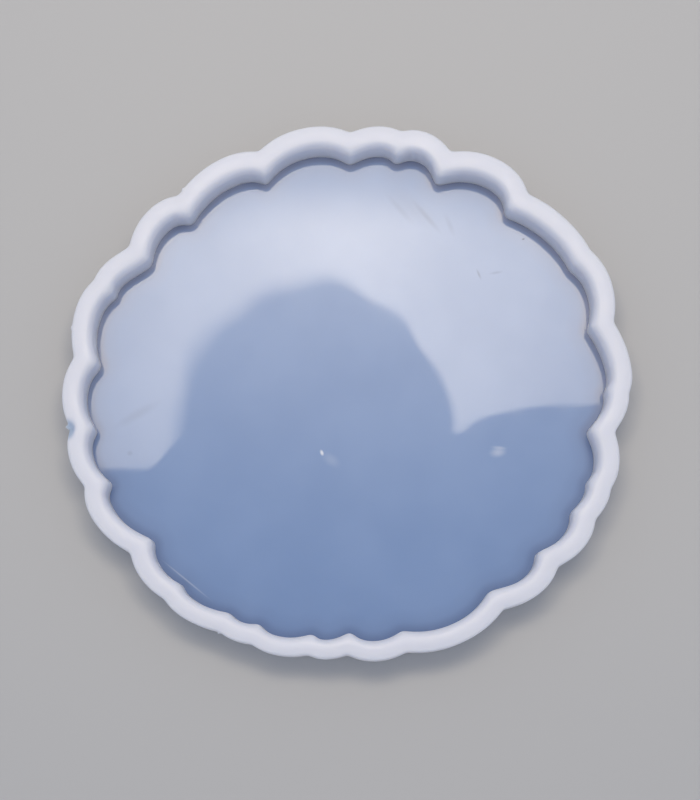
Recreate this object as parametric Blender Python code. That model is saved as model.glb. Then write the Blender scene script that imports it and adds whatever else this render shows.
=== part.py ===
"""Scalloped silicone casting mould: a thin cavity floor inside a thick rim wall.

The origin is at the centre of the footprint, on the surface that the mould stands on, with +Z up.
The cavity is drawn first, as a ring of scallops. The outside of the wall is the cavity's outline
moved outward by the wall's thickness, which varies a little round the mould.
"""
import math

import bpy
import numpy as np

# Driving dimensions, in metres
FLOOR_THICKNESS = 0.0020
CAVITY_DEPTH = 0.0080
TOTAL_HEIGHT = FLOOR_THICKNESS + CAVITY_DEPTH
INNER_EDGE_RADIUS = 0.0009      # rounding of the rim's top edge towards the cavity
OUTER_EDGE_RADIUS = 0.0006      # rounding of the rim's top edge on the outside
TIP_RADIUS = 0.0012             # rounding of the wall's tips, between two scallops of the cavity
NOTCH_RADIUS = 0.0009           # rounding of the notches on the outside of the wall
ARCH_POWER = 2.2                # shape of a scallop: 2 for a parabola, more for a fuller arch
SEAM_GAP = 0.0003               # clearance between the floor and the wall

# Resolution
BEARINGS = 288                  # corners of each outline
FINE_STEPS = 10                 # finer steps per corner while an outline is moved in or out
INNER_EDGE_STEPS = 3
OUTER_EDGE_STEPS = 2

# The scallops of the cavity, anticlockwise from +X. Each starts at the tip of the wall before it:
# bearing of the tip in degrees, its reach from the centre in mm, then bearing and reach of the crest.
SCALLOPS = (
    (0.6, 49.8, 4.6, 50.95),
    (14.9, 48.75, 22.4, 51.3),
    (29.5, 50.35, 38.5, 49.9),
    (49.0, 47.3, 56.8, 49.95),
    (67.4, 45.2, 72.8, 48.95),
    (78.6, 46.65, 82.1, 48.45),
    (89.4, 46.1, 99.8, 48.35),
    (111.2, 44.8, 118.8, 47.65),
    (132.6, 45.7, 137.6, 48.35),
    (146.3, 46.5, 154.2, 49.5),
    (157.2, 49.2, 164.3, 50.95),
    (173.8, 48.45, 180.8, 51.0),
    (188.8, 49.1, 194.3, 51.1),
    (201.8, 48.5, 206.8, 50.75),
    (218.0, 46.9, 222.8, 49.4),
    (230.0, 48.9, 234.3, 49.85),
    (242.4, 48.3, 246.0, 48.85),
    (249.7, 47.7, 254.8, 49.0),
    (262.4, 47.0, 265.2, 48.1),
    (270.9, 46.2, 275.6, 48.4),
    (282.6, 47.35, 294.3, 49.2),
    (304.9, 47.3, 313.8, 49.6),
    (319.2, 47.95, 326.3, 50.25),
    (331.3, 49.2, 336.4, 50.15),
    (339.3, 49.4, 344.2, 50.0),
    (350.5, 47.2, 356.8, 50.05),
)

# The wall's thickness at some bearings, in degrees and mm, and evenly in between
WALL_THICKNESSES = (
    (20.0, 4.1),
    (40.0, 4.3),
    (60.0, 4.35),
    (75.0, 4.3),
    (90.0, 4.15),
    (118.0, 4.3),
    (130.0, 4.15),
    (165.0, 4.0),
    (200.0, 3.85),
    (212.0, 4.15),
    (225.0, 4.0),
    (245.0, 3.8),
    (255.0, 3.55),
    (270.0, 3.65),
    (285.0, 3.9),
    (300.0, 3.95),
    (330.0, 4.2),
    (355.0, 4.0),
)

# Finishes: the thick wall is milky white and satin, the thin floor bluish and mirror-smooth
WALL_COLOUR = (0.74, 0.75, 0.80, 1.0)
WALL_ROUGHNESS = 0.45
FLOOR_COLOUR = (0.25, 0.33, 0.52, 1.0)
FLOOR_ROUGHNESS = 0.08
SHARP_EDGE_ANGLE = math.radians(35.0)


def clear_scene():
    for item in list(bpy.data.objects):
        bpy.data.objects.remove(item, do_unlink=True)


def scalloped_reach(bearings):
    """Distance from the centre to the cavity's scallops, in metres, with sharp tips."""
    reach = np.zeros_like(bearings)
    for index, (tip, tip_reach, crest, crest_reach) in enumerate(SCALLOPS):
        next_tip, next_reach = SCALLOPS[(index + 1) % len(SCALLOPS)][:2]
        span = (next_tip - tip) % 360.0
        along = ((bearings - tip) % 360.0) / span
        crest_along = ((crest - tip) % 360.0) / span
        chord = tip_reach + (next_reach - tip_reach) * along
        crest_chord = tip_reach + (next_reach - tip_reach) * crest_along
        # An arch over the chord, leaning so that it is highest at the crest
        lean = math.log(0.5) / math.log(crest_along)
        leaned = along ** lean
        arch = 1.0 - np.abs(2.0 * leaned - 1.0) ** ARCH_POWER
        scallop = chord + (crest_reach - crest_chord) * arch
        reach = np.where(along < 1.0, scallop, reach)
    return reach / 1000.0


def wall_thickness(bearings):
    """Thickness of the wall at each bearing, in metres."""
    known, thicknesses = np.transpose(WALL_THICKNESSES)
    return np.interp(bearings, known, thicknesses, period=360.0) / 1000.0


def moved_reach(bearings, reach, radius, outward):
    """An outline moved outward or inward by a radius, which may differ from bearing to bearing.

    A disc of that radius rolls along the outline, and the result is the far side of the discs
    that it covers, or the near side when moving inward.
    """
    angles = np.radians(bearings)
    toward = np.column_stack([np.cos(angles), np.sin(angles)])
    points = toward * reach[:, None]
    ahead = toward @ points.T
    aside = np.outer(toward[:, 0], points[:, 1]) - np.outer(toward[:, 1], points[:, 0])
    room = radius ** 2 - aside ** 2
    touches = (room > 0.0) & (ahead > 0.0)
    half_chord = np.sqrt(np.where(touches, room, 0.0))
    if outward:
        return np.where(touches, ahead + half_chord, -np.inf).max(axis=1)
    return np.where(touches, ahead - half_chord, np.inf).min(axis=1)


def closed_reach(bearings, reach, radius):
    """An outline with its inward-pointing corners rounded to a radius."""
    return moved_reach(bearings, moved_reach(bearings, reach, radius, True), radius, False)


def outline_points(bearings, reach):
    angles = np.radians(bearings)
    return np.column_stack([np.cos(angles) * reach, np.sin(angles) * reach])


def outward_normals(points):
    """Unit normals of a closed anticlockwise outline, at its corners."""
    tangents = np.roll(points, -1, axis=0) - np.roll(points, 1, axis=0)
    normals = np.column_stack([tangents[:, 1], -tangents[:, 0]])
    return normals / np.linalg.norm(normals, axis=1)[:, None]


def mould_outlines():
    """The cavity's outline and the wall's outside, centred on the footprint."""
    fine = np.arange(BEARINGS * FINE_STEPS) * 360.0 / (BEARINGS * FINE_STEPS)
    cavity_reach = closed_reach(fine, scalloped_reach(fine), TIP_RADIUS)
    outside_reach = moved_reach(fine, cavity_reach, wall_thickness(fine), True)
    outside_reach = closed_reach(fine, outside_reach, NOTCH_RADIUS)
    corners = fine[::FINE_STEPS]
    cavity = outline_points(corners, cavity_reach[::FINE_STEPS])
    outside = outline_points(corners, outside_reach[::FINE_STEPS])
    centre = (outside.min(axis=0) + outside.max(axis=0)) / 2.0
    return cavity - centre, outside - centre


def loop_at(points, z):
    return [(x, y, z) for x, y in points]


def rounded_edge(points, normals, radius, steps):
    """Loops up a quarter round from a wall's face to its top, radius inside the wall."""
    loops = []
    for step in range(steps + 1):
        turn = math.pi / 2.0 * step / steps
        inset = radius * (1.0 - math.cos(turn))
        z = TOTAL_HEIGHT - radius * (1.0 - math.sin(turn))
        loops.append(loop_at(points + normals * inset, z))
    return loops


def mesh_object(name, vertices, faces, material):
    mesh = bpy.data.meshes.new(name)
    mesh.from_pydata(vertices, [], faces)
    mesh.validate()
    mesh.shade_smooth()
    mesh.set_sharp_from_angle(angle=SHARP_EDGE_ANGLE)
    mesh.materials.append(material)
    item = bpy.data.objects.new(name, mesh)
    bpy.context.scene.collection.objects.link(item)
    return item


def silicone(name, colour, roughness):
    material = bpy.data.materials.new(name)
    material.use_nodes = True
    shader = material.node_tree.nodes["Principled BSDF"]
    shader.inputs["Base Color"].default_value = colour
    shader.inputs["Roughness"].default_value = roughness
    shader.inputs["Metallic"].default_value = 0.0
    return material


def make_rim_wall(cavity, outside):
    """The wall's section, from its inner foot over the rim to its outer foot, swept all round."""
    inner_edge = rounded_edge(cavity, outward_normals(cavity), INNER_EDGE_RADIUS, INNER_EDGE_STEPS)
    outer_edge = rounded_edge(outside, -outward_normals(outside), OUTER_EDGE_RADIUS, OUTER_EDGE_STEPS)
    loops = [loop_at(cavity, 0.0)] + inner_edge + outer_edge[::-1] + [loop_at(outside, 0.0)]
    vertices = [vertex for loop in loops for vertex in loop]
    faces = []
    for row in range(len(loops)):
        next_row = (row + 1) % len(loops)
        for corner in range(BEARINGS):
            next_corner = (corner + 1) % BEARINGS
            faces.append((
                row * BEARINGS + corner,
                next_row * BEARINGS + corner,
                next_row * BEARINGS + next_corner,
                row * BEARINGS + next_corner,
            ))
    material = silicone("silicone_wall", WALL_COLOUR, WALL_ROUGHNESS)
    return mesh_object("rim_wall", vertices, faces, material)


def make_cavity_floor(cavity):
    """The flat web between the wall's feet."""
    edge = cavity - outward_normals(cavity) * SEAM_GAP
    vertices = loop_at(edge, 0.0) + loop_at(edge, FLOOR_THICKNESS)
    underside = tuple(reversed(range(BEARINGS)))
    top = tuple(range(BEARINGS, 2 * BEARINGS))
    faces = [underside, top]
    for corner in range(BEARINGS):
        next_corner = (corner + 1) % BEARINGS
        faces.append((corner, next_corner, BEARINGS + next_corner, BEARINGS + corner))
    material = silicone("silicone_floor", FLOOR_COLOUR, FLOOR_ROUGHNESS)
    return mesh_object("cavity_floor", vertices, faces, material)


def main():
    clear_scene()
    cavity, outside = mould_outlines()
    make_cavity_floor(cavity)
    make_rim_wall(cavity, outside)


main()
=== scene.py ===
"""Looks of a scalloped silicone casting mould: milky rim wall, mirror-smooth blue cavity floor.

Metres, +Z up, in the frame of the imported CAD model. Two visible pieces stand for the two CAD
nodes, on the same outlines, drawn finer: rim_wall_skin and cavity_floor_skin. The rim's inner edge
is rounder than the CAD's, and its top turns more gently round the wall's tips.
"""

import math

import bpy
import numpy as np
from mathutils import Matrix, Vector, noise
from mathutils.geometry import delaunay_2d_cdt


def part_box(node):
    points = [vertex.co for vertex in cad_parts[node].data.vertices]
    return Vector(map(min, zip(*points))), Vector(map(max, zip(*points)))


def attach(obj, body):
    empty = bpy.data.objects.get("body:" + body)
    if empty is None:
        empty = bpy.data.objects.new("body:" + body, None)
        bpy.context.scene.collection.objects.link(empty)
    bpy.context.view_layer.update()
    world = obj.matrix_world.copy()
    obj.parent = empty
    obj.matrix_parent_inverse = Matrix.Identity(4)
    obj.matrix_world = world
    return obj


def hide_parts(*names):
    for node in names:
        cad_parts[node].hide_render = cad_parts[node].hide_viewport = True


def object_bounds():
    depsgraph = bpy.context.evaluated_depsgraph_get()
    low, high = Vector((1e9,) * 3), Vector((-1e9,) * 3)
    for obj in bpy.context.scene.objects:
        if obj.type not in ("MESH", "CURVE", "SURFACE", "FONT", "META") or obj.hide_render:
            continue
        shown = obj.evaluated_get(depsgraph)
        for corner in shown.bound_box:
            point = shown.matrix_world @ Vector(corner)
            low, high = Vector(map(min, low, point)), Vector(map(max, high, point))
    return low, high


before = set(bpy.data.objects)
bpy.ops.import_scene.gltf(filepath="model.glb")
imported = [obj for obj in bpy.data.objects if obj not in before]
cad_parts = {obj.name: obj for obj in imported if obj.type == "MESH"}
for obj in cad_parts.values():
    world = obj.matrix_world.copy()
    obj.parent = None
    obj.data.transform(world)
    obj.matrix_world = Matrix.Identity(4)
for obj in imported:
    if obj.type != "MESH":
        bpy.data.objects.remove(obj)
cad_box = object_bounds()

BODY = "root"
MM = 0.001
FULL_TURN = 360.0               # degrees

# Heights, from the frame
TABLE = cad_box[0].z
FLOOR_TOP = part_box("cavity_floor")[1].z
RIM_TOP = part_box("rim_wall")[1].z

# The wall's plan, as the CAD model draws it
ARCH_POWER = 2.2                # shape of a scallop: 2 for a parabola, more for a fuller arch
TIP_RADIUS = 1.2 * MM           # rounding of the wall's tips, between two scallops of the cavity
NOTCH_RADIUS = 0.9 * MM         # rounding of the notches on the outside of the wall

# The wall's section
INNER_EDGE_RADIUS = 1.35 * MM   # how far the rim's rounded inner edge reaches into the wall
INNER_EDGE_RISE = 2.4 * MM      # how far below the rim's top it begins
OUTER_EDGE_RADIUS = 0.6 * MM
OUTER_EDGE_RISE = 0.7 * MM
CROWN_SLOPE = math.radians(11.0)  # how far the rim's top leans where its rounded edges begin
CROWN_HALF = 1.20 * MM          # half the width of the rim's top between them, on average
FOOT_FILLET = 0.06 * MM         # where the wall meets the cavity's floor
FOOT_DEPTH = 0.20 * MM          # how deep the wall's hidden foot begins below the floor's top
UNDER_RADIUS = 0.35 * MM        # rounding of the outer wall's lower edge
PAINTED_SHADE_WIDTH = 4.6 * MM          # how far out from the wall's foot the floor's painted shade reaches
SEAM = 0.02 * MM                # hidden clearance between the two pieces
EMBED = 0.05 * MM               # how deep the fillet's toe sits in the floor

# Unevenness: how far the rim's top swells and dips, how far its sides sway, how far the floor
# ripples, and about how many waves of each there are in a metre. The shifts and the layer only
# choose which part of the noise is used.
SWELL = 0.05 * MM
SWELL_WAVES = 90.0
SWAY = 0.03 * MM
SWAY_WAVES = 160.0
SWAY_SHIFTS = (Vector((7.0, 0.0, 0.0)), Vector((0.0, 9.0, 0.0)))
RIPPLE = 0.025 * MM
RIPPLE_WAVES = 45.0
RIPPLE_LAYER = 3.0

# Resolution
BEARINGS = 1200                 # corners of each outline
FINE_STEPS = 3                  # finer steps per corner while an outline is moved in or out
SMOOTHING_STEPS = 1.6           # corners over which the outlines are evened
TURNING_STEPS = 5.0             # corners over which the rim's inner edge turns round a tip
WALL_ROWS = 9
EDGE_ROWS = 9
CROWN_ROWS = 10
FILLET_ROWS = 4
HIDDEN_ROWS = 3                 # rows of the wall's foot below the floor's top
CAVITY_SIDE_ROWS = HIDDEN_ROWS + FILLET_ROWS + WALL_ROWS  # rows before the rim's inner edge
FLOOR_SPACING = 1.4 * MM        # between the points of the floor's mesh
ROW_RATIO = math.sqrt(0.75)     # between the rows of a triangular grid, as a part of that spacing
FLOOR_MARGIN = 0.8              # clear of the outline, as a part of that spacing
RING_STEP = 2                   # corners of the outline per point of the ring where the painted shade ends
MERGE_DISTANCE = 1e-9
KEEP_INSIDE = 1                 # Blender's code for the triangles inside the border only
SHARP_EDGE_ANGLE = math.radians(50.0)

# The scallops of the cavity, anticlockwise from +X. Each starts at the tip of the wall before it:
# bearing of the tip in degrees, its reach from the centre in mm, then bearing and reach of the crest.
SCALLOPS = (
    (0.6, 49.8, 4.6, 50.95),
    (14.9, 48.75, 22.4, 51.3),
    (29.5, 50.35, 38.5, 49.9),
    (49.0, 47.3, 56.8, 49.95),
    (67.4, 45.2, 72.8, 48.95),
    (78.6, 46.65, 82.1, 48.45),
    (89.4, 46.1, 99.8, 48.35),
    (111.2, 44.8, 118.8, 47.65),
    (132.6, 45.7, 137.6, 48.35),
    (146.3, 46.5, 154.2, 49.5),
    (157.2, 49.2, 164.3, 50.95),
    (173.8, 48.45, 180.8, 51.0),
    (188.8, 49.1, 194.3, 51.1),
    (201.8, 48.5, 206.8, 50.75),
    (218.0, 46.9, 222.8, 49.4),
    (230.0, 48.9, 234.3, 49.85),
    (242.4, 48.3, 246.0, 48.85),
    (249.7, 47.7, 254.8, 49.0),
    (262.4, 47.0, 265.2, 48.1),
    (270.9, 46.2, 275.6, 48.4),
    (282.6, 47.35, 294.3, 49.2),
    (304.9, 47.3, 313.8, 49.6),
    (319.2, 47.95, 326.3, 50.25),
    (331.3, 49.2, 336.4, 50.15),
    (339.3, 49.4, 344.2, 50.0),
    (350.5, 47.2, 356.8, 50.05),
)

# The wall's thickness at some bearings, in degrees and mm, and evenly in between
WALL_THICKNESSES = (
    (20.0, 4.1),
    (40.0, 4.3),
    (60.0, 4.35),
    (75.0, 4.3),
    (90.0, 4.15),
    (118.0, 4.3),
    (130.0, 4.15),
    (165.0, 4.0),
    (200.0, 3.85),
    (212.0, 4.15),
    (225.0, 4.0),
    (245.0, 3.8),
    (255.0, 3.55),
    (270.0, 3.65),
    (285.0, 3.9),
    (300.0, 3.95),
    (330.0, 4.2),
    (355.0, 4.0),
)

# Bits of flash on the outer edge: bearing in degrees, height from the rim's top, how far each
# stands out, and its half-width along the edge and half-height, in mm
FLASH = (
    (129.2, -0.6, 0.30, 0.45, 1.2),
    (167.5, -0.8, 0.22, 0.60, 1.4),
    (187.9, -0.8, 0.75, 0.65, 1.3),
    (242.5, -0.9, 0.45, 0.40, 0.5),
)
# The scoop torn out of the outer edge beside the third of them
SCOOP_BEARING = 188.5           # degrees
SCOOP_HALF_WIDTH = 2.9 * MM     # along the edge
SCOOP_DEPTH = 1.75 * MM         # into the rim from the outer edge
SCOOP_DROP = 0.8 * MM
SCOOP_FADE = 1.0 * MM           # how far below its bottom the scoop still pulls the wall down

# Tints of the marks on the cavity's floor
PALE = (0.86, 0.88, 0.92, 1.0)
DARK = (0.06, 0.09, 0.16, 1.0)

# Spots, smudges and scratches on the cavity's floor, and one painted highlight: centre, half-length and
# half-width in mm, turn in degrees, how far out the mark stays full, strength and tint
FLOOR_MARKS = (
    ((-5.0, -11.6), 0.80, 0.45, 110.0, 0.2, 0.75, PALE),
    ((-3.2, -13.0), 2.60, 1.60, -35.0, 0.0, 0.10, PALE),
    ((29.4, -11.5), 2.10, 1.30, 10.0, 0.0, 0.30, PALE),
    ((29.6, -10.6), 2.00, 0.50, -5.0, 0.0, 0.20, PALE),
    ((34.9, 31.1), 0.40, 0.25, 20.0, 0.2, 0.70, DARK),
    ((26.0, 24.0), 1.50, 0.35, -68.0, 0.0, 0.35, DARK),
    ((29.4, 24.3), 1.80, 0.40, 10.0, 0.0, 0.20, DARK),
    ((15.7, 35.7), 5.50, 0.80, -50.0, 0.0, 0.22, DARK),
    ((10.4, 37.2), 5.20, 0.90, -49.0, 0.0, 0.13, DARK),
    ((20.3, 34.0), 3.40, 0.80, -68.0, 0.0, 0.12, DARK),
    ((13.0, 37.5), 8.00, 3.00, -41.0, 0.0, 0.10, DARK),
    ((-41.1, -4.0), 6.50, 1.40, 30.0, 0.0, 0.14, DARK),
    ((-42.5, -11.7), 0.80, 0.70, 0.0, 0.2, 0.16, DARK),
    # A thin pale line near the near wall: a painted highlight
    ((-31.2, -36.4), 7.50, 0.25, -39.0, 0.1, 0.25, PALE),
)


# ---- Outlines

def scalloped_reach(bearings):
    """Distance from the centre to the cavity's scallops, in metres, with sharp tips."""
    reach = np.zeros_like(bearings)
    for index, (tip, tip_reach, crest, crest_reach) in enumerate(SCALLOPS):
        next_tip, next_reach = SCALLOPS[(index + 1) % len(SCALLOPS)][:2]
        span = (next_tip - tip) % FULL_TURN
        along = ((bearings - tip) % FULL_TURN) / span
        crest_along = ((crest - tip) % FULL_TURN) / span
        chord = tip_reach + (next_reach - tip_reach) * along
        crest_chord = tip_reach + (next_reach - tip_reach) * crest_along
        # An arch over the chord, leaning so that it is highest at the crest
        lean = math.log(0.5) / math.log(crest_along)
        leaned = along ** lean
        arch = 1.0 - np.abs(2.0 * leaned - 1.0) ** ARCH_POWER
        scallop = chord + (crest_reach - crest_chord) * arch
        reach = np.where(along < 1.0, scallop, reach)
    return reach * MM


def wall_thickness(bearings):
    """Thickness of the wall at each bearing, in metres."""
    known, thicknesses = np.transpose(WALL_THICKNESSES)
    return np.interp(bearings, known, thicknesses, period=FULL_TURN) * MM


def moved_reach(bearings, reach, radius, outward):
    """An outline moved outward or inward by a radius, which may differ from bearing to bearing.

    A disc of that radius rolls along the outline, and the result is the far side of the discs
    that it covers, or the near side when moving inward.
    """
    angles = np.radians(bearings)
    toward = np.column_stack([np.cos(angles), np.sin(angles)])
    points = toward * reach[:, None]
    ahead = toward @ points.T
    aside = np.outer(toward[:, 0], points[:, 1]) - np.outer(toward[:, 1], points[:, 0])
    room = radius ** 2 - aside ** 2
    touches = (room > 0.0) & (ahead > 0.0)
    half_chord = np.sqrt(np.where(touches, room, 0.0))
    if outward:
        return np.where(touches, ahead + half_chord, -np.inf).max(axis=1)
    return np.where(touches, ahead - half_chord, np.inf).min(axis=1)


def closed_reach(bearings, reach, radius):
    """An outline with its inward-pointing corners rounded to a radius."""
    return moved_reach(bearings, moved_reach(bearings, reach, radius, True), radius, False)


def evened(reach, steps):
    """A closed outline with its finest ripples smoothed away, over a Gaussian of so many steps."""
    waves = np.fft.rfft(reach)
    turns = np.arange(len(waves)) / len(reach)
    return np.fft.irfft(waves * np.exp(-2.0 * (math.pi * turns * steps) ** 2), len(reach))


def outline_points(bearings, reach):
    angles = np.radians(bearings)
    return np.column_stack([np.cos(angles) * reach, np.sin(angles) * reach])


def outward_normals(points):
    """Unit normals of a closed anticlockwise outline, at its corners."""
    tangents = np.roll(points, -1, axis=0) - np.roll(points, 1, axis=0)
    normals = np.column_stack([tangents[:, 1], -tangents[:, 0]])
    return normals / np.linalg.norm(normals, axis=1)[:, None]


def eased(points):
    """A loop of points or normals that turns more gently at tight tips."""
    return np.column_stack([evened(part, TURNING_STEPS) for part in points.T])


def mould_outlines():
    """The cavity's outline and the wall's outside, centred on the footprint."""
    fine = np.arange(BEARINGS * FINE_STEPS) * FULL_TURN / (BEARINGS * FINE_STEPS)
    cavity_reach = closed_reach(fine, scalloped_reach(fine), TIP_RADIUS)
    outside_reach = moved_reach(fine, cavity_reach, wall_thickness(fine), True)
    outside_reach = closed_reach(fine, outside_reach, NOTCH_RADIUS)
    corners = fine[::FINE_STEPS]
    cavity = outline_points(corners, evened(cavity_reach[::FINE_STEPS], SMOOTHING_STEPS))
    outside = outline_points(corners, evened(outside_reach[::FINE_STEPS], SMOOTHING_STEPS))
    centre = (outside.min(axis=0) + outside.max(axis=0)) / 2.0
    return cavity - centre, outside - centre


# ---- The rim wall

def at_height(points, z):
    return np.column_stack([points, np.full(len(points), z)])


def inner_rows(cavity, normals, edge_height):
    """Rows up the cavity side: hidden foot, fillet, wall and the start of the rounded edge."""
    rows = [at_height(cavity + normals * SEAM, TABLE)]
    rows.append(at_height(cavity + normals * SEAM, FLOOR_TOP - FOOT_DEPTH))
    rows.append(at_height(cavity - normals * FOOT_FILLET, FLOOR_TOP - EMBED))
    for step in range(FILLET_ROWS + 1):
        turn = math.pi / 2.0 * step / FILLET_ROWS
        inset = FOOT_FILLET * (1.0 - math.sin(turn))
        z = FLOOR_TOP + FOOT_FILLET * (1.0 - math.cos(turn))
        rows.append(at_height(cavity - normals * inset, z))
    foot = FLOOR_TOP + FOOT_FILLET
    for step in range(1, WALL_ROWS):
        rows.append(at_height(cavity, foot + (edge_height - foot) * step / WALL_ROWS))
    return rows


def last_turn(radius, rise):
    """How far round an elliptical edge goes until its slope is the crown's."""
    return math.atan2(rise, radius * math.tan(CROWN_SLOPE))


def edge_rows(points, gentler, normals, radius, rise, top):
    """Rows over a rounded edge, from the upright wall until the slope is the crown's.

    They begin on the outline and end on a gentler one, so that the rim's top turns more gently.
    """
    rows = []
    end = last_turn(radius, rise)
    for step in range(EDGE_ROWS + 1):
        turn = end * step / EDGE_ROWS
        inset = radius * (1.0 - math.cos(turn))
        z = top - rise * (math.sin(end) - math.sin(turn))
        outline = points + (gentler - points) * (step / EDGE_ROWS) ** 2
        rows.append(at_height(outline + normals * inset, z))
    return rows


def crown_rows(inner, outer, gain):
    """Rows across the rim's top, from the inner rounded edge to the outer one, gaining height."""
    rows = []
    for step in range(1, CROWN_ROWS):
        across = step / CROWN_ROWS
        row = inner * (1.0 - across) + outer * across
        row[:, 2] = RIM_TOP - gain * (2.0 * across - 1.0) ** 2
        rows.append(row)
    return rows


def outer_rows(outside, normals, edge_height):
    """Rows down the outer wall and round its lower edge."""
    rows = []
    foot = TABLE + UNDER_RADIUS
    for step in range(1, WALL_ROWS):
        rows.append(at_height(outside, edge_height + (foot - edge_height) * step / WALL_ROWS))
    for step in range(FILLET_ROWS + 1):
        turn = math.pi / 2.0 * step / FILLET_ROWS
        inset = UNDER_RADIUS * (1.0 - math.cos(turn))
        z = TABLE + UNDER_RADIUS * (1.0 - math.sin(turn))
        rows.append(at_height(outside - normals * inset, z))
    return rows


def wall_rows(cavity, outside):
    """The wall's whole section as rows of points, each row a loop round the mould."""
    inward = eased(outward_normals(cavity))
    outward = outward_normals(outside)
    gain = CROWN_HALF * math.tan(CROWN_SLOPE) / 2.0
    top = RIM_TOP - gain
    inner_edge = edge_rows(cavity, eased(cavity), inward, INNER_EDGE_RADIUS, INNER_EDGE_RISE, top)
    outer_edge = edge_rows(outside, outside, -outward, OUTER_EDGE_RADIUS, OUTER_EDGE_RISE, top)[::-1]
    inner_height = inner_edge[0][0, 2]
    outer_height = outer_edge[-1][0, 2]
    return (
        inner_rows(cavity, inward, inner_height)
        + inner_edge
        + crown_rows(inner_edge[-1], outer_edge[0], gain)
        + outer_edge
        + outer_rows(outside, outward, outer_height)
    )


def bell(offset, half_width):
    """A smooth bump: 1 at no offset, falling to 0 beyond the half-width."""
    return np.clip(1.0 - (offset / half_width) ** 2, 0.0, None) ** 2


def bearings_of(points):
    """Bearing of each point from the centre, in degrees."""
    return np.degrees(np.arctan2(points[:, 1], points[:, 0])) % FULL_TURN


def distance_along(bearings, bearing, reach):
    """How far round the mould each point is from a bearing, in metres."""
    half_turn = FULL_TURN / 2.0
    return np.radians((bearings - bearing + half_turn) % FULL_TURN - half_turn) * reach


def add_flash_and_scoop(vertices, outside):
    """Pushes bits of flash out of the outer edge, sinks the scoop, and tells how torn each point is."""
    bearings = bearings_of(vertices)
    reach = np.linalg.norm(vertices[:, :2], axis=1)
    outline_bearings = bearings_of(outside)
    order = np.argsort(outline_bearings)
    outline_reach = np.interp(
        bearings, outline_bearings[order], np.linalg.norm(outside, axis=1)[order], period=FULL_TURN)
    depth = outline_reach - reach
    near_edge = np.clip(1.0 - depth / OUTER_EDGE_RADIUS, 0.0, 1.0)
    direction = vertices[:, :2] / reach[:, None]
    for bearing, height, push, half_width, half_height in FLASH:
        along = distance_along(bearings, bearing, reach)
        level = vertices[:, 2] - (RIM_TOP + height * MM)
        amount = bell(along, half_width * MM) * bell(level, half_height * MM) * near_edge
        vertices[:, :2] += direction * (push * MM * amount)[:, None]
    along = distance_along(bearings, SCOOP_BEARING, reach)
    fade = SCOOP_DROP + SCOOP_FADE
    above = np.clip((vertices[:, 2] - RIM_TOP + fade) / fade, 0.0, 1.0)
    bite = bell(along, SCOOP_HALF_WIDTH) * bell(np.clip(depth, 0.0, None), SCOOP_DEPTH) * above
    vertices[:, 2] -= SCOOP_DROP * bite
    return bite


def swept_faces(row_count):
    """Quads between each row and the next, the last row joined to the first."""
    faces = []
    for row in range(row_count):
        next_row = (row + 1) % row_count
        for corner in range(BEARINGS):
            next_corner = (corner + 1) % BEARINGS
            faces.append((
                row * BEARINGS + corner,
                next_row * BEARINGS + corner,
                next_row * BEARINGS + next_corner,
                row * BEARINGS + next_corner,
            ))
    return faces


def mesh_piece(name, vertices, faces, material):
    mesh = bpy.data.meshes.new(name)
    mesh.from_pydata(vertices.tolist(), [], faces)
    mesh.validate()
    mesh.shade_smooth()
    mesh.set_sharp_from_angle(angle=SHARP_EDGE_ANGLE)
    mesh.materials.append(material)
    piece = bpy.data.objects.new(name, mesh)
    bpy.context.scene.collection.objects.link(piece)
    return piece


def add_mask(piece, name, values):
    """Stores one number per corner of a piece's mesh, for its material to read."""
    mask = piece.data.attributes.new(name, "FLOAT", "POINT")
    mask.data.foreach_set("value", values.astype(np.float32))


def make_rim_wall(cavity, outside, material):
    rows = wall_rows(cavity, outside)
    vertices = np.concatenate(rows)
    torn = add_flash_and_scoop(vertices, outside)
    # The rim isn't quite even
    for vertex in vertices:
        if vertex[2] > FLOOR_TOP + FOOT_FILLET:
            place = Vector(vertex)
            vertex[2] += SWELL * noise.noise(place * SWELL_WAVES)
            vertex[:2] += SWAY * np.array(
                [noise.noise(place * SWAY_WAVES + shift) for shift in SWAY_SHIFTS])
    vertices[:, 2] = np.minimum(vertices[:, 2], RIM_TOP)
    piece = mesh_piece("rim_wall_skin", vertices, swept_faces(len(rows)), material)
    add_mask(piece, "torn", torn)
    # The cavity side, for the painted light at its foot
    cavity_side = np.zeros(len(vertices))
    cavity_side[:CAVITY_SIDE_ROWS * BEARINGS] = 1.0
    add_mask(piece, "cavity_side", cavity_side)
    return piece


# ---- The cavity floor

def floor_grid(outline):
    """Points inside an outline on a triangular grid, clear of its edge."""
    reach = np.abs(outline).max() + FLOOR_SPACING
    steps = int(reach / FLOOR_SPACING) + 1
    bearings = np.arctan2(outline[:, 1], outline[:, 0])
    order = np.argsort(bearings)
    edge = np.linalg.norm(outline, axis=1)[order]
    points = []
    for row in range(-steps, steps + 1):
        for column in range(-steps, steps + 1):
            x = (column + (row % 2) / 2.0) * FLOOR_SPACING
            y = row * FLOOR_SPACING * ROW_RATIO
            room = np.interp(math.atan2(y, x), bearings[order], edge, period=2.0 * math.pi)
            if math.hypot(x, y) < room - FLOOR_MARGIN * FLOOR_SPACING:
                points.append((x, y))
    return points


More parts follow.
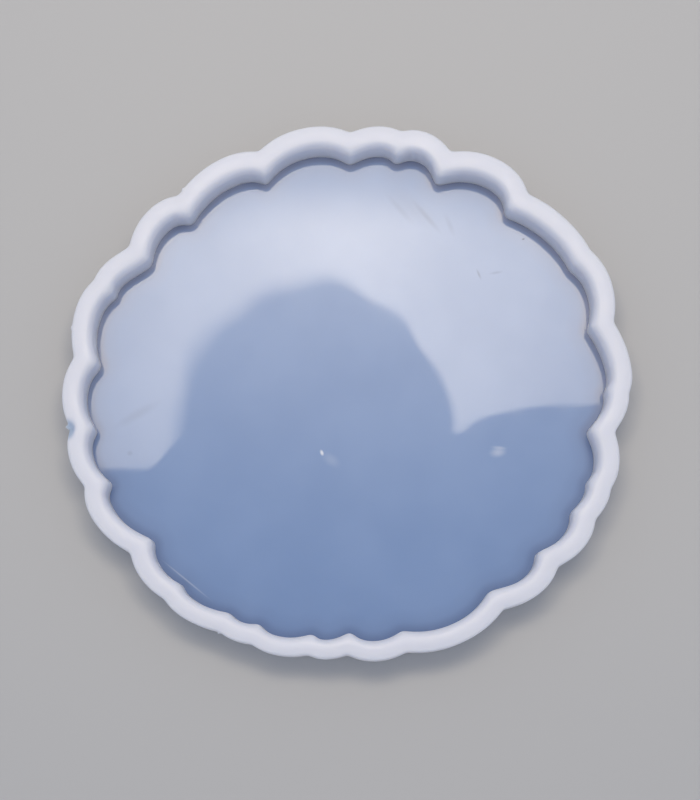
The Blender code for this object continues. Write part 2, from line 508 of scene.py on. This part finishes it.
def make_cavity_floor(cavity, material):
    """A closed disc with a very slightly uneven top, triangulated evenly."""
    outline = [Vector(point) for point in cavity]
    # The ring where the floor's painted shade ends
    ring = cavity - outward_normals(cavity) * PAINTED_SHADE_WIDTH
    inside = [Vector(point) for point in ring[::RING_STEP]]
    inside += [Vector(point) for point in floor_grid(ring)]
    border = [(corner, (corner + 1) % BEARINGS) for corner in range(BEARINGS)]
    points, _, triangles, _, _, _ = delaunay_2d_cdt(
        outline + inside, border, [], KEEP_INSIDE, MERGE_DISTANCE)
    count = len(points)
    top = []
    for x, y in points:
        ripple = RIPPLE * noise.noise(Vector((x * RIPPLE_WAVES, y * RIPPLE_WAVES, RIPPLE_LAYER)))
        top.append((x, y, FLOOR_TOP + ripple))
    underside = [(x, y, TABLE) for x, y in points]
    faces = [tuple(triangle) for triangle in triangles]
    faces += [tuple(count + corner for corner in reversed(triangle)) for triangle in triangles]
    for corner, next_corner in border:
        faces.append((next_corner, corner, count + corner, count + next_corner))
    piece = mesh_piece("cavity_floor_skin", np.array(top + underside), faces, material)
    # Painted shade: the floor's colour darkens along the wall's foot
    shade = np.zeros(2 * count)
    shade[:BEARINGS] = 1.0
    add_mask(piece, "painted_foot_shade", shade)
    return piece


# ---- Materials

REFRACTION = 1.41               # silicone's index of refraction

# The rim wall: its sides low down, darker as painted shade, and higher up, the painted light on the
# cavity side beside the floor, its top, its mottled patches and where it is torn
SHADED_SIDE_LOW = (0.77, 0.755, 0.785, 1.0)
SIDE_HIGH = (0.80, 0.79, 0.82, 1.0)
# Painted light on the cavity side's foot, against the shade where the wall meets the floor
PAINTED_FOOT_LIGHT = (0.94, 0.93, 0.97, 1.0)
CROWN_COLOUR = (0.70, 0.718, 0.80, 1.0)
MOTTLE_COLOUR = (0.70, 0.715, 0.78, 1.0)
TORN_COLOUR = (0.40, 0.49, 0.64, 1.0)
SIDE_BLEND = 5.0 * MM           # height over which the sides go from their painted shade low down to their colour higher up
PAINTED_LIGHT_BLEND = 0.7 * MM           # height over which the painted light at the foot fades
CROWN_DEPTHS = (1.7 * MM, 0.4 * MM)  # below the rim's top, where its colour begins and is full
MOTTLE_SIZE = 7.0 * MM
MOTTLE_BAND = (0.3, 0.7)        # of the noise from 0 to 1, over which the patches come in
MOTTLE_MOST = 0.25
TORN_BAND = (0.03, 0.65)        # how torn the silicone is where its colour begins and is full
WALL_SOAK = 0.8                 # how much of the light soaks in, for each colour how far, and a scale
WALL_SOAK_RADIUS = (1.0, 0.95, 0.90)
WALL_SOAK_DEPTH = 3.4 * MM
WALL_GLOSS_SIZE = 4.0 * MM
WALL_GLOSS_BAND = (0.2, 0.8)
WALL_ROUGHNESS = (0.34, 0.46)
GRAIN_SIZE = 0.35 * MM
GRAIN_ROUGHNESS = 0.6
GRAIN_DEPTH = 0.012 * MM

# The cavity's floor: two close blues, and the painted shade along the wall's foot, on the near and on
# the far side, where it is also a painted reflection of the wall
FLOOR_BLUES = ((0.222, 0.322, 0.543, 1.0), (0.241, 0.343, 0.566, 1.0))
BLUES_SIZE = 16.0 * MM
BLUES_BAND = (0.3, 0.7)
PAINTED_SHADE_NEAR = (0.13, 0.18, 0.33, 1.0)
PAINTED_SHADE_AND_REFLECTION_FAR = (0.27, 0.265, 0.33, 1.0)
PAINTED_SHADE_TURN = (-20.0 * MM, 15.0 * MM)  # along Y, where the near side's colour gives way
NARROW_BAND = (0.5, 1.0)        # of the foot's painted shade, where its narrow part begins and is full
NARROW_PAINTED_SHADE = 0.45
WIDE_PAINTED_SHADE = 0.22
FLOOR_SOAK = 0.25
FLOOR_SOAK_RADIUS = (1.0, 0.9, 0.8)
FLOOR_SOAK_DEPTH = 1.0 * MM
FLOOR_GLOSS_SIZE = 5.0 * MM
FLOOR_GLOSS_BAND = (0.3, 0.8)
FLOOR_ROUGHNESS = (0.015, 0.05)

# How many finer layers a noise has
COARSE = 2.0
FINE = 3.0

# Sockets of Blender's Mix node when it mixes colours
MIX_FACTOR = 0
MIX_FIRST = 6
MIX_SECOND = 7
MIX_RESULT = 2


def new_material(name):
    material = bpy.data.materials.new(name)
    material.use_nodes = True
    tree = material.node_tree
    return material, tree, tree.nodes["Principled BSDF"]


def add_node(tree, kind, **settings):
    node = tree.nodes.new(kind)
    for key, value in settings.items():
        setattr(node, key, value)
    return node


def set_or_link(tree, socket, value):
    if isinstance(value, bpy.types.NodeSocket):
        tree.links.new(value, socket)
    else:
        socket.default_value = value


def maths(tree, operation, first, second=0.0):
    node = add_node(tree, "ShaderNodeMath", operation=operation)
    set_or_link(tree, node.inputs[0], first)
    set_or_link(tree, node.inputs[1], second)
    return node.outputs[0]


def ramp(tree, value, low, high, to_low=0.0, to_high=1.0):
    """A value from low to high, eased onto to_low to to_high and held beyond them."""
    node = add_node(tree, "ShaderNodeMapRange", interpolation_type="SMOOTHSTEP")
    set_or_link(tree, node.inputs["Value"], value)
    node.inputs["From Min"].default_value = low
    node.inputs["From Max"].default_value = high
    node.inputs["To Min"].default_value = to_low
    node.inputs["To Max"].default_value = to_high
    return node.outputs["Result"]


def mix(tree, factor, first, second):
    node = add_node(tree, "ShaderNodeMix", data_type="RGBA")
    set_or_link(tree, node.inputs[MIX_FACTOR], factor)
    set_or_link(tree, node.inputs[MIX_FIRST], first)
    set_or_link(tree, node.inputs[MIX_SECOND], second)
    return node.outputs[MIX_RESULT]


def place_of(tree):
    return add_node(tree, "ShaderNodeTexCoord").outputs["Object"]


def coordinates(tree, place):
    """The X, Y and Z of a place."""
    node = add_node(tree, "ShaderNodeSeparateXYZ")
    tree.links.new(place, node.inputs[0])
    return node.outputs["X"], node.outputs["Y"], node.outputs["Z"]


def mask_of(tree, name):
    """The number that add_mask stored on the piece's mesh."""
    return add_node(tree, "ShaderNodeAttribute", attribute_name=name).outputs["Fac"]


def cloud(tree, place, size, detail, roughness=0.5):
    """Noise from 0 to 1 whose features are about size across."""
    node = add_node(tree, "ShaderNodeTexNoise")
    tree.links.new(place, node.inputs["Vector"])
    node.inputs["Scale"].default_value = 1.0 / size
    node.inputs["Detail"].default_value = detail
    node.inputs["Roughness"].default_value = roughness
    return node.outputs["Fac"]


def add_bump(tree, shader, height, distance):
    node = add_node(tree, "ShaderNodeBump")
    node.inputs["Strength"].default_value = 1.0
    node.inputs["Distance"].default_value = distance
    tree.links.new(height, node.inputs["Height"])
    tree.links.new(node.outputs["Normal"], shader.inputs["Normal"])


def set_silicone(shader, weight, radius, depth):
    """Silicone's refraction, and how light soaks into it."""
    shader.inputs["Subsurface Weight"].default_value = weight
    shader.inputs["Subsurface Radius"].default_value = radius
    shader.inputs["Subsurface Scale"].default_value = depth
    shader.inputs["IOR"].default_value = REFRACTION


def milky_silicone():
    """Thick white silicone: satin and a little mottled, and light soaks in a few millimetres."""
    material, tree, shader = new_material("milky_silicone")
    place = place_of(tree)
    _, _, height = coordinates(tree, place)
    # Painted shade: the sides are darker low down
    side = mix(tree, ramp(tree, height, FLOOR_TOP, FLOOR_TOP + SIDE_BLEND), SHADED_SIDE_LOW, SIDE_HIGH)
    # Painted light: the cavity side is lightened at its foot, against the shade where it meets the
    # floor
    near_foot = ramp(tree, height, FLOOR_TOP, FLOOR_TOP + PAINTED_LIGHT_BLEND, 1.0, 0.0)
    painted_foot_light = maths(tree, "MULTIPLY", mask_of(tree, "cavity_side"), near_foot)
    side = mix(tree, painted_foot_light, side, PAINTED_FOOT_LIGHT)
    crown_start, crown_full = CROWN_DEPTHS
    crown = ramp(tree, height, RIM_TOP - crown_start, RIM_TOP - crown_full)
    colour = mix(tree, crown, side, CROWN_COLOUR)
    patches = cloud(tree, place, MOTTLE_SIZE, FINE)
    colour = mix(tree, ramp(tree, patches, *MOTTLE_BAND, 0.0, MOTTLE_MOST), colour, MOTTLE_COLOUR)
    colour = mix(tree, ramp(tree, mask_of(tree, "torn"), *TORN_BAND), colour, TORN_COLOUR)
    tree.links.new(colour, shader.inputs["Base Color"])
    gloss = cloud(tree, place, WALL_GLOSS_SIZE, COARSE)
    tree.links.new(ramp(tree, gloss, *WALL_GLOSS_BAND, *WALL_ROUGHNESS), shader.inputs["Roughness"])
    set_silicone(shader, WALL_SOAK, WALL_SOAK_RADIUS, WALL_SOAK_DEPTH)
    add_bump(tree, shader, cloud(tree, place, GRAIN_SIZE, FINE, GRAIN_ROUGHNESS), GRAIN_DEPTH)
    return material


def mark_mask(tree, place, centre, half_length, half_width, turn, core):
    """1 inside an ellipse on the floor, in mm and degrees, easing to 0 at its edge."""
    node = add_node(tree, "ShaderNodeMapping", vector_type="TEXTURE")
    tree.links.new(place, node.inputs["Vector"])
    node.inputs["Location"].default_value = (centre[0] * MM, centre[1] * MM, 0.0)
    node.inputs["Rotation"].default_value = (0.0, 0.0, math.radians(turn))
    node.inputs["Scale"].default_value = (half_length * MM, half_width * MM, 1.0)
    length = add_node(tree, "ShaderNodeVectorMath", operation="LENGTH")
    tree.links.new(node.outputs[0], length.inputs[0])
    return ramp(tree, length.outputs["Value"], core, 1.0, 1.0, 0.0)


def glossy_silicone():
    """The thin web: blue where it scatters, and mirror-smooth from the form it was cast on."""
    material, tree, shader = new_material("glossy_silicone")
    place = place_of(tree)
    _, y, _ = coordinates(tree, place)
    blues = cloud(tree, place, BLUES_SIZE, COARSE)
    colour = mix(tree, ramp(tree, blues, *BLUES_BAND), *FLOOR_BLUES)
    # Painted shade along the wall's foot, greyer on the far side as a painted reflection of the wall
    painted_shade_colour = mix(tree, ramp(tree, y, *PAINTED_SHADE_TURN), PAINTED_SHADE_NEAR, PAINTED_SHADE_AND_REFLECTION_FAR)
    shade = mask_of(tree, "painted_foot_shade")
    narrow = maths(tree, "MULTIPLY", ramp(tree, shade, *NARROW_BAND), NARROW_PAINTED_SHADE)
    wide = maths(tree, "MULTIPLY", shade, WIDE_PAINTED_SHADE)
    colour = mix(tree, maths(tree, "ADD", narrow, wide), colour, painted_shade_colour)
    for centre, half_length, half_width, turn, core, strength, tint in FLOOR_MARKS:
        mask = mark_mask(tree, place, centre, half_length, half_width, turn, core)
        colour = mix(tree, maths(tree, "MULTIPLY", mask, strength), colour, tint)
    tree.links.new(colour, shader.inputs["Base Color"])
    gloss = cloud(tree, place, FLOOR_GLOSS_SIZE, FINE)
    tree.links.new(ramp(tree, gloss, *FLOOR_GLOSS_BAND, *FLOOR_ROUGHNESS), shader.inputs["Roughness"])
    set_silicone(shader, FLOOR_SOAK, FLOOR_SOAK_RADIUS, FLOOR_SOAK_DEPTH)
    return material


# ---- Stage: table, lights and camera

TABLE_HALF = 6.0
TABLE_CLEARANCE = 0.02 * MM     # below the mould, so that their faces don't coincide
TABLE_COLOUR = (0.49, 0.49, 0.495, 1.0)
TABLE_ROUGHNESS = 0.9

PANEL_HEIGHT = 400.0 * MM
PANEL_LEFT = -122.0 * MM
PANEL_RIGHT = 122.0 * MM
PANEL_NEAR = -50.0 * MM
PANEL_FAR = 180.0 * MM
PANEL_STRENGTH = 12.4
PANEL_COLOUR = (1.0, 0.89, 0.73, 1.0)

# The near edge of the panel's bright part: where along X it steps, its Y on either side of the
# step, and half the width over which it fades
HORIZON_STEP = (-80.0 * MM, -62.0 * MM)
HORIZON_LEVELS = (29.7 * MM, 44.0 * MM)
HORIZON_SOFTNESS = 2.0 * MM

# The two dim round-topped openings: centre, half-width and half-height, and the softness of
# their left and right edges
ARCHES = (
    (-13.5 * MM, 39.7 * MM, 53.5 * MM, 64.5 * MM, 0.14, 0.05),
    (84.1 * MM, 19.6 * MM, 48.4 * MM, 37.3 * MM, 0.04, 0.04),
)
# Their outlines are uneven: size of the bends, part of the noise used, and how far they bend
WOBBLE_SIZE = 38.0 * MM
WOBBLE_DETAIL = 1.0
WOBBLE_BAND = (0.25, 0.75)
WOBBLE = (-0.05, 0.05)

# The least light anywhere on the panel, which grows along Y
VEIL_REACH = (-45.0 * MM, 130.0 * MM)
VEIL_LEVELS = (0.0, 0.42)

# Where the panel shines brightest, the bright spot there, and the radii where the glow fades
GLARE = (-2.0 * MM, 135.0 * MM)
SPOT_RADIUS = 70.0 * MM
SPOT_LEVEL = 0.42
GLOW_RADII = (60.0 * MM, 150.0 * MM)
GLOW_LEVELS = (0.92, 0.52)

# Along Y, where the panel dims towards its far edge
DIMMING_REACH = (122.0 * MM, 152.0 * MM)
DIMMING_LEVELS = (1.0, 0.52)

WORLD_COLOUR = (0.90, 0.97, 1.12, 1.0)
WORLD_STRENGTH = 0.60

CAMERA_PLACE = (0.5 * MM, -59.0 * MM, 394.0 * MM)
CAMERA_TILT = math.radians(8.39)
LENS = 90.9
SENSOR = 36.0
CLIP_START = 0.01
CLIP_END = 20.0


def flat_piece(name, corners, material):
    """A single flat face, for the stage."""
    mesh = bpy.data.meshes.new(name)
    mesh.from_pydata(corners, [], [tuple(range(len(corners)))])
    mesh.materials.append(material)
    piece = bpy.data.objects.new(name, mesh)
    bpy.context.scene.collection.objects.link(piece)
    return piece


def make_table():
    material, _, shader = new_material("pale_table")
    shader.inputs["Base Color"].default_value = TABLE_COLOUR
    shader.inputs["Roughness"].default_value = TABLE_ROUGHNESS
    z = TABLE - TABLE_CLEARANCE
    half = TABLE_HALF
    corners = [(-half, -half, z), (half, -half, z), (half, half, z), (-half, half, z)]
    table = flat_piece("table", corners, material)


def distance_from(tree, x, y, centre_x, centre_y, half_x=1.0, half_y=1.0):
    """Distance from a centre, as a multiple of the half-sizes, or in metres without them."""
    across = maths(tree, "DIVIDE", maths(tree, "SUBTRACT", x, centre_x), half_x)
    ahead = maths(tree, "DIVIDE", maths(tree, "SUBTRACT", y, centre_y), half_y)
    squares = maths(tree, "ADD", maths(tree, "POWER", across, 2.0), maths(tree, "POWER", ahead, 2.0))
    return maths(tree, "SQRT", squares)


def panel_glow():
    """The panel's light: it fades away from its glare, round two dim round-topped openings."""
    material, tree, shader = new_material("panel_glow")
    tree.nodes.remove(shader)
    place = place_of(tree)
    x, y, _ = coordinates(tree, place)
    horizon = ramp(tree, x, *HORIZON_STEP, *HORIZON_LEVELS)
    bright = ramp(tree, maths(tree, "SUBTRACT", y, horizon), -HORIZON_SOFTNESS, HORIZON_SOFTNESS)
    wobble = ramp(tree, cloud(tree, place, WOBBLE_SIZE, WOBBLE_DETAIL), *WOBBLE_BAND, *WOBBLE)
    for centre_x, centre_y, half_x, half_y, left_softness, right_softness in ARCHES:
        radius = distance_from(tree, x, y, centre_x, centre_y, half_x, half_y)
        softness = ramp(tree, x, centre_x - half_x, centre_x + half_x, left_softness, right_softness)
        beyond = maths(tree, "SUBTRACT", maths(tree, "ADD", radius, wobble), 1.0)
        outside_arch = ramp(tree, maths(tree, "DIVIDE", beyond, softness), -1.0, 1.0)
        bright = maths(tree, "MULTIPLY", bright, outside_arch)
    level = maths(tree, "MAXIMUM", bright, ramp(tree, y, *VEIL_REACH, *VEIL_LEVELS))
    away = distance_from(tree, x, y, *GLARE)
    spot = ramp(tree, away, 0.0, SPOT_RADIUS, SPOT_LEVEL, 0.0)
    glow = maths(tree, "ADD", ramp(tree, away, *GLOW_RADII, *GLOW_LEVELS), spot)
    dimming = ramp(tree, y, *DIMMING_REACH, *DIMMING_LEVELS)
    level = maths(tree, "MULTIPLY", level, maths(tree, "MULTIPLY", glow, dimming))
    emission = add_node(tree, "ShaderNodeEmission")
    emission.inputs["Color"].default_value = PANEL_COLOUR
    tree.links.new(maths(tree, "MULTIPLY", level, PANEL_STRENGTH), emission.inputs["Strength"])
    tree.links.new(emission.outputs[0], tree.nodes["Material Output"].inputs["Surface"])
    return material


def make_panel():
    corners = [(PANEL_LEFT, PANEL_NEAR, 0.0), (PANEL_LEFT, PANEL_FAR, 0.0),
               (PANEL_RIGHT, PANEL_FAR, 0.0), (PANEL_RIGHT, PANEL_NEAR, 0.0)]
    panel = flat_piece("light_panel", corners, panel_glow())
    panel.location.z = PANEL_HEIGHT
    panel.visible_camera = False


def make_world():
    world = bpy.data.worlds.new("soft_room")
    world.use_nodes = True
    background = world.node_tree.nodes["Background"]
    background.inputs["Color"].default_value = WORLD_COLOUR
    background.inputs["Strength"].default_value = WORLD_STRENGTH
    bpy.context.scene.world = world


def make_camera():
    data = bpy.data.cameras.new("camera")
    data.sensor_width = SENSOR
    data.lens = LENS
    data.clip_start = CLIP_START
    data.clip_end = CLIP_END
    camera = bpy.data.objects.new("camera", data)
    camera.location = CAMERA_PLACE
    camera.rotation_euler = (CAMERA_TILT, 0.0, 0.0)
    bpy.context.scene.collection.objects.link(camera)
    bpy.context.scene.camera = camera


def main():
    bpy.context.scene.view_settings.view_transform = "Standard"
    make_camera()
    make_world()
    make_table()
    make_panel()
    cavity, outside = mould_outlines()
    rim = make_rim_wall(cavity, outside, milky_silicone())
    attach(rim, BODY)
    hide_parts("rim_wall")
    floor = make_cavity_floor(cavity, glossy_silicone())
    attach(floor, BODY)
    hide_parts("cavity_floor")


main()
